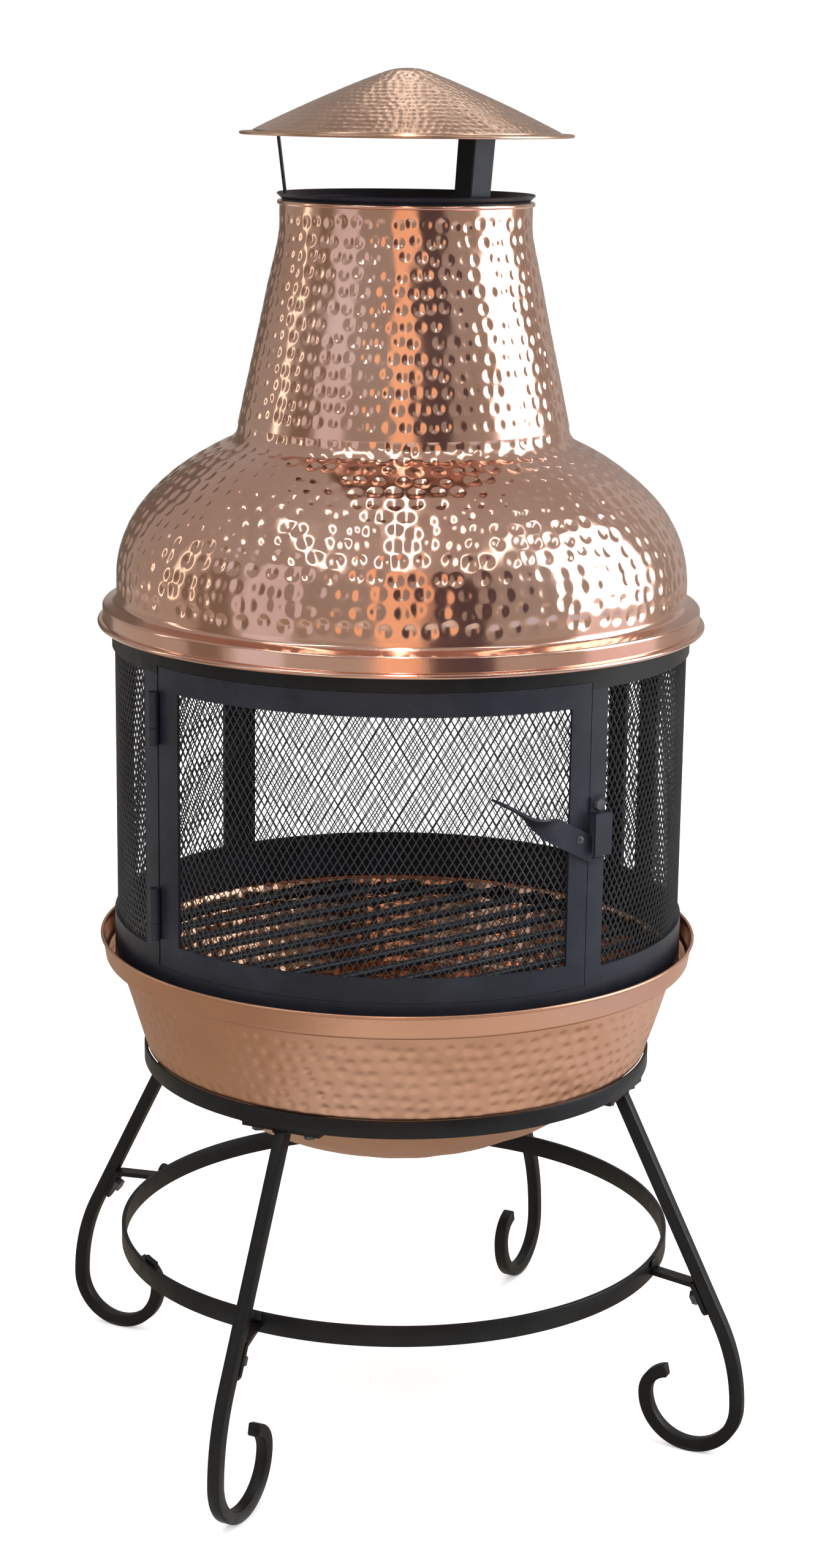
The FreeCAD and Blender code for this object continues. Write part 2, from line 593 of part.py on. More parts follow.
def build_lever():
    """A strip that turns on the rivet: the blade, and a handle bent out and twisted a quarter turn."""
    bend, handle = size("lever_bend"), size("lever_handle")
    twist_start, twist_end = size("lever_twist_start"), size("lever_twist_end")
    sections = []
    steps = 12
    for step in range(steps + 1):
        along = bend + (handle - bend) * step / steps
        share = min(max((along - twist_start) / (twist_end - twist_start), 0), 1)
        turn = math.radians(size("lever_twist")) * share * share * (3 - 2 * share)
        lift = size("lever_flare") * (along - bend) / (handle - bend)
        sections.append(lever_section(-along, turn, lift))
    arm = Part.makeLoft(sections, True, True)
    place = heading(size("latch_azimuth"), size("lever_stand_off"), size("latch_level"))
    node("latch_lever", shape_feature("latch_lever", lever_blade().fuse(arm), place))


# ---------------------------------------------------------------- hood, flue and cap

def build_hood():
    flue, flue_top = size("flue_radius"), size("flue_top")
    slope = math.radians(size("cone_slope"))
    foot = (size("cone_foot_radius"), size("cone_foot_level"))
    neck_level = foot[1] + (foot[0] - flue) / math.tan(slope)
    ease = 8
    neck_low = (flue + ease * math.sin(slope), neck_level - ease * math.cos(slope))
    neck_mid = (flue + ease * math.sin(slope) * 0.27, neck_level + ease * 0.02)
    dome, rise, level = size("dome_radius"), size("dome_rise"), size("dome_level")
    dome_start, dome_arcs = 172, 4
    turn = math.acos(dome_start / dome) / (2 * dome_arcs)
    on_dome = [(dome * math.cos(turn * k), level + rise * math.sin(turn * k))
               for k in range(2 * dome_arcs, -1, -1)]
    dome_edges = [arc(*on_dome[k:k + 3]) for k in range(0, 2 * dome_arcs, 2)]
    band_radius, band_top = size("hood_band_radius"), size("hood_band_top")
    ledge_top = size("hood_ledge_top")
    ledge_slope = math.degrees(math.atan2(band_top - ledge_top, band_radius - dome))
    ledge_in = eased((dome, ledge_top), -90, ledge_slope, size("hood_ledge_fillet"))
    ledge_out = eased((band_radius, band_top), ledge_slope, -90, size("hood_band_fillet"))
    roll, roll_level = size("hood_roll_size"), size("hood_roll_level")
    edges = [
        line((flue, flue_top), (flue, neck_level + ease)),
        arc((flue, neck_level + ease), neck_mid, neck_low),
        line(neck_low, foot),
        arc(foot, (165.2, 1004.6), on_dome[0]),
        *dome_edges,
        line((dome, level), ledge_in[0]),
        arc(*ledge_in),
        line(ledge_in[2], ledge_out[0]),
        arc(*ledge_out),
        line(ledge_out[2], (band_radius, roll_level + roll)),
    ]
    shell = spun_sheet(edges, -size("copper_wall"))
    lower = bead(size("hood_roll_radius") - roll, roll_level, roll)
    skirt = Part.makeCylinder(band_radius + 1, roll, Vector(0, 0, roll_level))
    skirt = skirt.cut(Part.makeCylinder(band_radius - size("copper_wall"), MUCH, Vector(0, 0, 800)))
    upper = bead(flue, flue_top, size("flue_bead_size"))
    node("hood", shape_feature("hood", shell.fuse([lower, skirt, upper]).removeSplitter()))


def build_collar():
    """Steel lining of the flue, flared out over the hood's top bead."""
    radius, wall = size("collar_radius"), size("collar_wall")
    base, neck = size("collar_base"), size("collar_neck")
    lip, top = size("collar_lip_radius"), size("collar_lip_top")
    edges = [line((radius, base), (radius, neck)), line((radius, neck), (lip, top))]
    node("flue_collar", shape_feature("flue_collar", spun_sheet(edges, wall)))


def build_straps():
    """Flat steel straps from the flue's lining up to the rain cap."""
    for name, azimuth in STRAP_AZIMUTHS:
        label = f"cap_strap_{name}"
        half = size("strap_width") / 2
        foot = add("Part::Box", label + "_foot", Length=cell("strap_wall"), Width=cell("strap_width"),
                   Height="dims.strap_bend - dims.strap_base")
        foot.Placement = Placement(Vector(size("strap_foot_radius"), -half, size("strap_base")), Rotation())
        upright = add("Part::Box", label + "_upright", Length=cell("strap_wall"), Width=cell("strap_width"),
                      Height="dims.strap_top - dims.strap_bend")
        lean = Rotation(Vector(0, 1, 0), size("strap_lean"))
        upright.Placement = Placement(Vector(size("strap_foot_radius"), -half, size("strap_bend")), lean)
        top = lean.multVec(Vector(0, 0, size("strap_top") - size("strap_bend")))
        tab = add("Part::Box", label + "_tab", Width=cell("strap_width"), Height=cell("strap_wall"))
        bind(tab, Length=cell("strap_tab"))
        inward = Rotation(Vector(0, 1, 0), 180 + size("cap_slope"))
        spot = Vector(size("strap_foot_radius") + size("strap_wall"), -half, size("strap_bend")) + top
        tab.Placement = Placement(spot, inward)
        strap = fuse(label, [foot, upright, tab])
        strap.Placement = Placement(Vector(0, 0, 0), Rotation(Vector(0, 0, 1), azimuth - 90))
        node(label, strap)


def build_cap():
    rim, rim_level = size("cap_rim_radius"), size("cap_rim_level")
    crown = (size("cap_crown_radius"), size("cap_crown_level"))
    shoulder = (size("cap_shoulder_radius"), size("cap_shoulder_level"))
    tip = (size("cap_tip_radius"), size("cap_tip_level"))
    brim = (rim - size("cap_roll"), rim_level)
    brim_inner = (crown[0] + 3, rim_level + 0.4)
    edges = [
        line(brim, brim_inner),
        arc(brim_inner, (crown[0] + 1.3, rim_level + 1.3), crown),
        arc(crown, shoulder, tip),
        polar_arc(tip, size("cap_apex")),
    ]
    shell = spun_sheet(edges, size("copper_wall"))
    edge = bead(rim - size("cap_roll"), rim_level, size("cap_roll"))
    node("rain_cap", shape_feature("rain_cap", shell.fuse(edge).removeSplitter()))


# ---------------------------------------------------------------- build and write

build_stand()
build_bowl()
build_grate()
build_screen()
build_hinges()
build_keeper()
build_door()
build_rivet()
build_lever()
build_hood()
build_collar()
build_straps()
build_cap()
doc.recompute()

for thing in doc.Objects:
    if "Invalid" in thing.State or "Error" in thing.State:
        raise RuntimeError(f"{thing.Name} failed: {thing.State}")
for label, thing in nodes.items():
    if thing.Shape.isNull() or not thing.Shape.isValid() or not thing.Shape.Solids:
        raise RuntimeError(f"{label} has no valid solid")

os.makedirs("parts", exist_ok=True)
for label, thing in nodes.items():
    thing.Shape.exportStep(os.path.join("parts", label + ".step"))
print(len(nodes), "nodes")
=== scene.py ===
import math

import bpy
import numpy as np
from mathutils import Matrix, Vector


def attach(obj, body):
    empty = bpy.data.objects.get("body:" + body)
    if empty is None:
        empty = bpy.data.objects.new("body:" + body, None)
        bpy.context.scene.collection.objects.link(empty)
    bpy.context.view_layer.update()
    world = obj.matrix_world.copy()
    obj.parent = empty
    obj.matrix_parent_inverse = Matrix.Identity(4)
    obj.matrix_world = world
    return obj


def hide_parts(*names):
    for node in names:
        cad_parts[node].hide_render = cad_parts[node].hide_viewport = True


# Looks for a copper garden chiminea: hammered copper hood, bowl and rain cap, real expanded-metal mesh,
# and black coated steel. Lengths in the tables and helpers are millimetres, and azimuths are degrees in
# plan, counted from -Y (the door) towards +X. Points of a profile are (radius, level).

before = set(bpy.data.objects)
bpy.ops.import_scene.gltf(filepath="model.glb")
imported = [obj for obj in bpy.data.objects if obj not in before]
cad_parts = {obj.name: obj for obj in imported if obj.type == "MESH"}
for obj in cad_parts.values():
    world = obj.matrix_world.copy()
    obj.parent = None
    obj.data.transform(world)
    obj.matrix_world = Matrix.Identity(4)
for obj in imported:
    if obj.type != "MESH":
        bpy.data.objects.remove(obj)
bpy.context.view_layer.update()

MM = 0.001
TAU = 2 * math.pi
WALL = 1.5
BAR = 12.7
LEG_AZIMUTH = -25.5
dice = np.random.default_rng(718)


# ---------------------------------------------------------------- materials

class Nodes:
    """A material's node tree with a Principled shader, and short names for the nodes used here."""

    def __init__(self, name):
        self.material = bpy.data.materials.new(name)
        self.material.use_nodes = True
        self.tree = self.material.node_tree
        self.shader = self.tree.nodes["Principled BSDF"]
        self.coords = self.tree.nodes.new("ShaderNodeTexCoord").outputs["Object"]

    def noise(self, scale, detail=3.0, roughness=0.5, stretch=None):
        node = self.tree.nodes.new("ShaderNodeTexNoise")
        node.inputs["Scale"].default_value = scale
        node.inputs["Detail"].default_value = detail
        node.inputs["Roughness"].default_value = roughness
        source = self.coords
        if stretch:
            mapping = self.tree.nodes.new("ShaderNodeMapping")
            mapping.inputs["Scale"].default_value = stretch
            self.tree.links.new(source, mapping.inputs["Vector"])
            source = mapping.outputs["Vector"]
        self.tree.links.new(source, node.inputs["Vector"])
        return node.outputs["Fac"]

    def ramp(self, source, stops):
        node = self.tree.nodes.new("ShaderNodeValToRGB")
        elements = node.color_ramp.elements
        while len(elements) < len(stops):
            elements.new(0.5)
        for element, (place, colour) in zip(elements, stops):
            element.position = place
            element.color = (*colour, 1.0)
        self.tree.links.new(source, node.inputs["Fac"])
        return node.outputs["Color"]

    def spread(self, source, low, high, first=0.3, last=0.7):
        node = self.tree.nodes.new("ShaderNodeMapRange")
        for socket, value in (("From Min", first), ("From Max", last), ("To Min", low), ("To Max", high)):
            node.inputs[socket].default_value = value
        self.tree.links.new(source, node.inputs["Value"])
        return node.outputs["Result"]

    def bump(self, source, strength, distance, below=None):
        node = self.tree.nodes.new("ShaderNodeBump")
        node.inputs["Strength"].default_value = strength
        node.inputs["Distance"].default_value = distance
        self.tree.links.new(source, node.inputs["Height"])
        if below:
            self.tree.links.new(below, node.inputs["Normal"])
        return node.outputs["Normal"]

    def into(self, socket, source):
        self.tree.links.new(source, self.shader.inputs[socket])


def copper(name, tones, roughness, patina_scale, grain):
    """Bare copper: tones from dark to light follow handling and heat, roughness follows the polish."""
    nodes = Nodes(name)
    nodes.shader.inputs["Metallic"].default_value = 1.0
    patina = nodes.noise(patina_scale, 5.0, 0.55)
    nodes.into("Base Color", nodes.ramp(patina, [(0.3, tones[0]), (0.52, tones[1]), (0.75, tones[2])]))
    smears = nodes.noise(patina_scale * 3.1, 4.0, 0.6, (1.0, 1.0, 0.35))
    nodes.into("Roughness", nodes.spread(smears, *roughness))
    fine = nodes.bump(nodes.noise(1400.0, 2.0), grain, 0.0002)
    nodes.into("Normal", nodes.bump(nodes.noise(170.0, 3.0), grain, 0.0006, fine))
    return nodes.material


def coated_steel(name, tones, roughness, grain, shine=0.5):
    """Baked black coating: fine orange-peel texture, slightly uneven sheen, faint dust."""
    nodes = Nodes(name)
    nodes.shader.inputs["Specular IOR Level"].default_value = shine
    cloud = nodes.noise(14.0, 6.0, 0.65)
    nodes.into("Base Color", nodes.ramp(cloud, [(0.35, tones[0]), (0.7, tones[1])]))
    nodes.into("Roughness", nodes.spread(nodes.noise(60.0, 4.0, 0.6), *roughness))
    peel = nodes.bump(nodes.noise(1100.0, 2.0), grain, 0.0003)
    nodes.into("Normal", nodes.bump(nodes.noise(260.0, 3.0, 0.6), grain * 0.6, 0.0006, peel))
    return nodes.material


# Each finish: tones from dark to light, roughness from low to high, size of the patches, depth of grain.
POLISHED = copper("copper_polished", [(0.66, 0.375, 0.275), (0.755, 0.465, 0.355), (0.83, 0.56, 0.455)],
                  (0.1, 0.19), 6.0, 0.05)
PLAIN_POLISHED = copper("copper_polished_plain", [(0.7, 0.4, 0.3), (0.78, 0.47, 0.36), (0.84, 0.55, 0.44)],
                        (0.1, 0.18), 7.0, 0.06)
SATIN = copper("copper_satin", [(0.63, 0.33, 0.21), (0.7, 0.385, 0.25), (0.76, 0.45, 0.31)],
               (0.31, 0.4), 5.0, 0.1)
# Lighter tones than the outer copper: painted brightness that stands in for the glints of the inside, which
# gets little light through the mesh.
INSIDE_PAINTED_BRIGHT = copper("copper_inside_painted_bright", [(0.66, 0.34, 0.2), (0.84, 0.48, 0.31), (0.95, 0.63, 0.47)],
                (0.1, 0.2), 12.0, 0.1)
CAP_COPPER = copper("copper_cap", [(0.45, 0.28, 0.19), (0.58, 0.37, 0.26), (0.68, 0.46, 0.34)],
                    (0.2, 0.3), 9.0, 0.1)
STEEL = coated_steel("black_steel", [(0.008, 0.009, 0.014), (0.016, 0.018, 0.027)], (0.34, 0.46), 0.22, 0.31)
# Darker black used on the stand; on the screen's top ring the same darkness is painted shade under the
# hood's flange.
STAND_STEEL_AND_FLANGE_SHADE = coated_steel("black_stand_steel_and_painted_shade", [(0.003, 0.003, 0.003), (0.007, 0.007, 0.007)],
                           (0.34, 0.48), 0.3, 0.28)
MESH_COAT = coated_steel("black_mesh", [(0.014, 0.015, 0.016), (0.028, 0.029, 0.033)], (0.42, 0.55), 0.1)
BOLT = coated_steel("bolt_steel", [(0.02, 0.02, 0.023), (0.05, 0.05, 0.056)], (0.3, 0.42), 0.12)


# ---------------------------------------------------------------- meshes

def mesh_piece(name, points, faces, material, body, replaced=(), smooth=True):
    """A new visible piece from vertices in millimetres. It rides on a CAD body and stands for CAD nodes."""
    mesh = bpy.data.meshes.new(name)
    mesh.from_pydata((np.asarray(points).reshape(-1, 3) * MM).tolist(), [], faces)
    mesh.polygons.foreach_set("use_smooth", [smooth] * len(mesh.polygons))
    mesh.materials.append(material)
    mesh.update()
    piece = bpy.data.objects.new(name, mesh)
    bpy.context.scene.collection.objects.link(piece)
    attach(piece, body)
    if replaced:
        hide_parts(*replaced)
    return piece


def grid_faces(rows, columns, closed_rows=False, closed_columns=True):
    """Quads of a grid. Rows that climb the profile and columns of growing azimuth face outwards."""
    index = np.arange(rows * columns).reshape(rows, columns)
    below = index if closed_rows else index[:-1]
    above = np.roll(index, -1, 0) if closed_rows else index[1:]
    if closed_columns:
        quads = (below, np.roll(below, -1, 1), np.roll(above, -1, 1), above)
    else:
        quads = (below[:, :-1], below[:, 1:], above[:, 1:], above[:, :-1])
    return np.stack(quads, -1).reshape(-1, 4)


def turned(radius, level, azimuths):
    """Grid of points of a turned surface, from radii and levels of shape (rows,) or (rows, columns)."""
    radius = np.asarray(radius, float)
    level = np.asarray(level, float)
    if radius.ndim == 1:
        radius, level = radius[:, None], level[:, None]
    angle = np.radians(azimuths)[None, :]
    return np.stack([radius * np.sin(angle), -radius * np.cos(angle), level + 0 * angle], -1)


def all_round(columns):
    return np.arange(columns) * 360.0 / columns


def arc_points(first, middle, last, count=12):
    """Points on the circle through three points of the (radius, level) plane."""
    (ax, ay), (bx, by), (cx, cy) = first, middle, last
    d = 2 * (ax * (by - cy) + bx * (cy - ay) + cx * (ay - by))
    a, b, c = ax * ax + ay * ay, bx * bx + by * by, cx * cx + cy * cy
    ux = (a * (by - cy) + b * (cy - ay) + c * (ay - by)) / d
    uy = (a * (cx - bx) + b * (ax - cx) + c * (bx - ax)) / d
    start = math.atan2(ay - uy, ax - ux)
    through = math.atan2(by - uy, bx - ux)
    end = math.atan2(cy - uy, cx - ux)
    sweep = (end - start) % TAU
    if (through - start) % TAU > sweep:
        sweep -= TAU
    radius = math.hypot(ax - ux, ay - uy)
    angles = start + sweep * np.linspace(0, 1, count)
    return np.stack([ux + radius * np.cos(angles), uy + radius * np.sin(angles)], 1)


def eased(corner, before, after, radius):
    """Start, middle and end of the fillet at a corner between two directions of travel, in degrees."""
    before, after = math.radians(before), math.radians(after)
    reach = radius * abs(math.tan((after - before) / 2))
    start = (corner[0] - reach * math.cos(before), corner[1] - reach * math.sin(before))
    end = (corner[0] + reach * math.cos(after), corner[1] + reach * math.sin(after))
    side = math.copysign(radius, after - before)
    centre = (start[0] - side * math.sin(before), start[1] + side * math.cos(before))
    away = math.dist(centre, corner)
    middle = tuple(centre[k] + (corner[k] - centre[k]) * radius / away for k in (0, 1))
    return start, middle, end


def polar_points(edge, pole, count=40):
    """From an edge point to the pole of a sphere centred on the axis."""
    rise = edge[1] - pole
    radius = (edge[0] ** 2 + rise ** 2) / (2 * abs(rise))
    angles = np.linspace(math.asin(edge[0] / radius), 0.0005, count)
    return np.stack([radius * np.sin(angles),
                     pole + math.copysign(1, rise) * radius * (1 - np.cos(angles))], 1)


def circle_points(centre, radius, start, sweep, count=14):
    angles = np.radians(start + sweep * np.linspace(0, 1, count))
    return np.stack([centre[0] + radius * np.cos(angles), centre[1] + radius * np.sin(angles)], 1)


def path(*parts):
    """One profile from points and runs of points, with no point twice in a row."""
    points = np.concatenate([np.asarray(part, float).reshape(-1, 2) for part in parts])
    keep = np.concatenate([[True], np.linalg.norm(np.diff(points, axis=0), axis=1) > 1e-3])
    return points[keep]


def arc_length(profile):
    return np.concatenate([[0], np.cumsum(np.linalg.norm(np.diff(profile, axis=0), axis=1))])


def even_profile(profile, step):
    """The same profile with points a given step apart."""
    length = arc_length(profile)
    count = int(round(length[-1] / step)) + 1
    places = np.linspace(0, length[-1], count)
    return np.stack([np.interp(places, length, profile[:, k]) for k in (0, 1)], 1)


def outward(profile):
    """Unit normals of a profile that climbs, pointing away from the axis."""
    tangent = np.gradient(profile, axis=0)
    tangent /= np.linalg.norm(tangent, axis=1)[:, None]
    return np.stack([tangent[:, 1], -tangent[:, 0]], 1)


def firm(profile, near=0.5):
    """The same profile with a point close to each end of its long steps, so that smooth shading turns
    only at the corners."""
    points = [profile[0]]
    for first, last in zip(profile[:-1], profile[1:]):
        length = math.dist(first, last)
        if length > 4 * near:
            points += [first + (last - first) * near / length, last - (last - first) * near / length]
        points.append(last)
    return np.array(points)


def lathe(name, profile, material, body, replaced=(), columns=288):
    profile = firm(profile)
    points = turned(profile[:, 0], profile[:, 1], all_round(columns))
    return mesh_piece(name, points, grid_faces(*points.shape[:2]).tolist(), material, body, replaced)


# ---------------------------------------------------------------- hammered copper

def waves(arc, columns, height, count=26, longest=150.0):
    """Slow unevenness of hand-worked sheet, the same all round after one turn."""
    angle = np.arange(columns) * TAU / columns
    field = np.zeros((len(arc), columns))
    for _ in range(count):
        turns = dice.integers(2, 26)
        along = TAU / dice.uniform(longest * 0.35, longest)
        field += np.cos(turns * angle[None, :] + along * arc[:, None] + dice.uniform(0, TAU))
    return height * field / math.sqrt(count)


def dents(profile, columns, rows, pitch, radius, depth, loose=0.12, missing=0.02):
    """Depth of round hammer marks on a turned sheet. Rows are places along the profile."""
    arc = arc_length(profile)
    field = np.zeros((len(arc), columns))
    for place in rows:
        ring = float(np.interp(place, arc, profile[:, 0]))
        count = max(int(round(TAU * ring / pitch)), 3)
        shift = dice.uniform(0, 1)
        for index in range(count):
            if dice.uniform() < missing:
                continue
            angle = (index + shift + dice.normal(0, loose)) / count * TAU
            centre = place + dice.normal(0, loose * 0.6) * pitch
            size = radius * dice.uniform(0.86, 1.12)
            sink = depth * dice.uniform(0.75, 1.2)
            near = np.nonzero(np.abs(arc - centre) < size)[0]
            if not len(near):
                continue
            half = int(size / ring / TAU * columns) + 2
            middle = int(round(angle / TAU * columns))
            spots = np.arange(middle - half, middle + half + 1)
            across = (spots * TAU / columns - angle) * ring
            distance = ((arc[near][:, None] - centre) ** 2 + across[None, :] ** 2) / size ** 2
            bowl = sink * np.clip(1 - distance, 0, 1) ** 2
            block = np.ix_(near, spots % columns)
            field[block] = np.maximum(field[block], bowl)
    return field


def hammered(name, profile, step, columns, marks, unevenness, material, body, replaced=()):
    """A turned copper sheet with hammer marks. marks: first and last place, pitch, radius, depth."""
    fine = even_profile(profile, step)
    arc = arc_length(fine)
    field = waves(arc, columns, unevenness)
    edge = np.clip(np.minimum(arc, arc[-1] - arc) / 12.0, 0, 1)
    field = field * edge[:, None]
    first, last, row_pitch, pitch, radius, depth = marks
    rows = np.arange(first, arc[-1] - last, row_pitch)
    field = field + dents(fine, columns, rows, pitch, radius, depth)
    normal = outward(fine)
    ring = fine[:, 0][:, None] - normal[:, 0][:, None] * field
    level = fine[:, 1][:, None] - normal[:, 1][:, None] * field
    points = turned(ring, level, all_round(columns))
    return mesh_piece(name, points, grid_faces(*points.shape[:2]).tolist(), material, body, replaced)


def hood():
    """Bell hood: rolled edge and plain skirt, hammered dome, hammered tapering flue, bare lining."""
    foot = (161.8, 1017.0)
    slope = math.radians(12.3)
    flue, flue_top, ease = 121.8, 1228.0, 8
    neck = foot[1] + (foot[0] - flue) / math.tan(slope)
    neck_low = (flue + ease * math.sin(slope), neck - ease * math.cos(slope))
    neck_mid = (flue + ease * math.sin(slope) * 0.27, neck + ease * 0.02)
    side, dome_level, dome_rise, shoulder = 281.3, 868, 166, 172
    turn = np.linspace(0, math.acos(shoulder / side), 60)
    dome = np.stack([side * np.cos(turn), dome_level + dome_rise * np.sin(turn)], 1)
    band, band_top, ledge_top, seam = 295, 840.5, 845.5, (side, 851.5)
    inwards = math.degrees(math.atan2(band_top - ledge_top, band - side)) + 180
    skirt = path(circle_points((band + 2.5, 823.3), 2.5, 200, 250), (band, 826.4),
                 arc_points(*eased((band, band_top), 90, inwards, 2.8), 8),
                 arc_points(*eased((side, ledge_top), inwards, 90, 6), 10), seam)
    upper = path(seam, dome, arc_points(tuple(dome[-1]), (165.2, 1004.6), foot, 10))
    cone = path(foot, neck_low, arc_points(neck_low, neck_mid, (flue, neck + ease), 8), (flue, flue_top - 2))
    lathe("hood_skirt", skirt, PLAIN_POLISHED, "hood", ("hood",))
    hammered("hood_dome", upper, 1.8, 880, (11, 4, 15.6, 19.6, 8.6, 1.35), 0.25,
             POLISHED, "hood", ("hood",))
    hammered("hood_cone", cone, 1.5, 640, (14.5, 8, 15.4, 13.6, 6.9, 1.15), 0.22,
             POLISHED, "hood", ("hood",))
    bead = circle_points((flue, flue_top), 2.4, -60, 300)
    lathe("hood_flue_bead", bead, PLAIN_POLISHED, "hood", ("hood",))
    above_roll = skirt[14:]
    outer = path(above_roll, upper, cone)
    inner = outer - outward(outer) * (WALL + 0.6)
    lining = path((295.4, 822.0), inner)[::-1]
    lathe("hood_lining", lining, INSIDE_PAINTED_BRIGHT, "hood", ("hood",), 144)


def bowl():
    """Bowl: rolled lip, plain band, hammered wall, smooth rounded bottom, hammered inside."""
    heel = (254.5, 388.0)
    lip = circle_points((299.0, 504.2), 1.8, -90, 250)
    band = path((281.9, 476.8), arc_points((281.9, 477), (283.07, 479.83), (285.9, 481), 6), (292, 481),
                arc_points((292, 481), (294.83, 482.17), (296, 485), 6), (298.6, 502.4), lip)
    lathe("bowl_band", band, SATIN, "bowl", ("bowl",), 360)
    wall = path(heel, (281.9, 476.8))
    hammered("bowl_wall", wall, 1.7, 900, (9, 1, 14.2, 16.5, 6.9, 0.95), 0.25,
             SATIN, "bowl", ("bowl",))
    bottom = polar_points(heel, 278.0)[::-1]
    hammered("bowl_bottom", bottom, 5.0, 240, (400, 0, 16, 16, 6, 0.5), 0.35,
             SATIN, "bowl", ("bowl",))
    below_lip = band[:-14]
    outer = path(bottom, wall, below_lip)
    inner = (outer - outward(outer) * WALL)[::-1]
    inside = even_profile(path((298.2, 504.5), inner), 2.8)
    arc = arc_length(inside)
    swell = dents(inside, 480, np.arange(40, arc[-1] - 20, 15.5), 16.0, 7.8, 1.5)
    normal = outward(inside)
    ring = inside[:, 0][:, None] + normal[:, 0][:, None] * swell
    level = inside[:, 1][:, None] + normal[:, 1][:, None] * swell
    points = turned(ring, level, all_round(480))
    mesh_piece("bowl_inside", points, grid_faces(*points.shape[:2]).tolist(), INSIDE_PAINTED_BRIGHT,
               "bowl", ("bowl",))


def rain_cap():
    """Conical cap: rolled rim, narrow flat brim, finely hammered crown."""
    tip = (22.0, 1350.4)
    crown = path(arc_points((147, 1295.6), (86.8, 1324), tip, 60), polar_points(tip, 1354.0, 20))
    hammered("cap_crown", crown, 1.25, 620, (4, 10, 8.2, 8.0, 4.2, 0.4), 0.1,
             CAP_COPPER, "hood", ("rain_cap",))
    rim = circle_points((158.8, 1292.4), 1.6, -150, 290)
    brim = path(rim, (150, 1292.9), arc_points((150, 1292.9), (148.3, 1293.7), (147, 1295.6), 5))
    lathe("cap_brim", brim, CAP_COPPER, "hood", ("rain_cap",), 240)
    top = path((157.4, 1292.4), brim[14:], crown)
    under = (top - outward(top) * WALL)[::-1]
    lathe("cap_underside", under, CAP_COPPER, "hood", ("rain_cap",), 240)


# ---------------------------------------------------------------- expanded metal

def mesh_panel(name, node, body, span, low, high, radius=282.3, cell=(7.5, 12.6), strand=(0.74, 1.25)):
    """Expanded metal bent to the screen's radius: diamonds of slit strands that meet in bonds."""
    width = math.radians(span[1] - span[0]) * radius
    columns = int(width / (cell[0] / 2))
    rows = int((high - low) / (cell[1] / 2))
    i, j = np.meshgrid(np.arange(columns), np.arange(rows), indexing="ij")
    starts, ends = [], []
    for step in (1, -1):
        fits = ((i + j) % 2 == 0) if step == 1 else ((i + j) % 2 == 1)
        base = j if step == 1 else j + 1
        starts.append(np.stack([i[fits], base[fits]], 1))
        ends.append(np.stack([i[fits] + 1, base[fits] + step], 1))
    lean = np.concatenate([np.full(len(starts[0]), 1.0), np.full(len(starts[1]), -1.0)])
    starts, ends = np.concatenate(starts), np.concatenate(ends)

    def place(spots, stand_off):
        angle = np.radians(span[0]) + spots[:, 0] / columns * math.radians(span[1] - span[0])
        level = low + spots[:, 1] / rows * (high - low)
        ring = radius + stand_off
        return np.stack([ring * np.sin(angle), -ring * np.cos(angle), level], 1), angle

    a, angle_a = place(starts, lean * 0.12)
    b, angle_b = place(ends, lean * 0.12)
    middle = (angle_a + angle_b) / 2
    out = np.stack([np.sin(middle), -np.cos(middle), 0 * middle], 1)
    run = b - a
    run /= np.linalg.norm(run, axis=1)[:, None]
    side = np.cross(run, out)
    out = out + side * lean[:, None] * 0.35
    out /= np.linalg.norm(out, axis=1)[:, None]
    side = np.cross(run, out)
    corners = []
    for end, push in ((a, -0.35), (b, 0.35)):
        for u, v in ((-1, -1), (1, -1), (1, 1), (-1, 1)):
            corners.append(end + run * push + side * u * strand[0] / 2 + out * v * strand[1] / 2)
    points = np.stack(corners, 1).reshape(-1, 3)
    first = np.arange(len(a))[:, None, None] * 8
    quads = np.array([[0, 1, 5, 4], [1, 2, 6, 5], [2, 3, 7, 6], [3, 0, 4, 7]])[None]
    faces = (first + quads).reshape(-1, 4).tolist()
    mesh_piece(name, points, faces, MESH_COAT, body, (node,), smooth=False)


# ---------------------------------------------------------------- steel bars

def rounded_section(width, height, corner, per_corner=3):
    """Outline of a bar's cross section about its own centre, counter-clockwise: (across, up)."""
    points = []
    for sx, sy, start in ((1, 1, 0), (-1, 1, 90), (-1, -1, 180), (1, -1, 270)):
        centre = (sx * (width / 2 - corner), sy * (height / 2 - corner))
        points.append(circle_points(centre, corner, start, 90, per_corner))
    return np.concatenate(points)


def bar_ring(name, outer, inner, low, high, node, body, corner=0.7):
    """Flat bar rolled to a full ring, its edges eased."""
    section = rounded_section(outer - inner, high - low, corner)
    points = turned(section[:, 0] + (outer + inner) / 2, section[:, 1] + (low + high) / 2, all_round(288))
    faces = grid_faces(len(section), 288, closed_rows=True).tolist()
    mesh_piece(name, points, faces, STAND_STEEL_AND_FLANGE_SHADE, body, (node,))


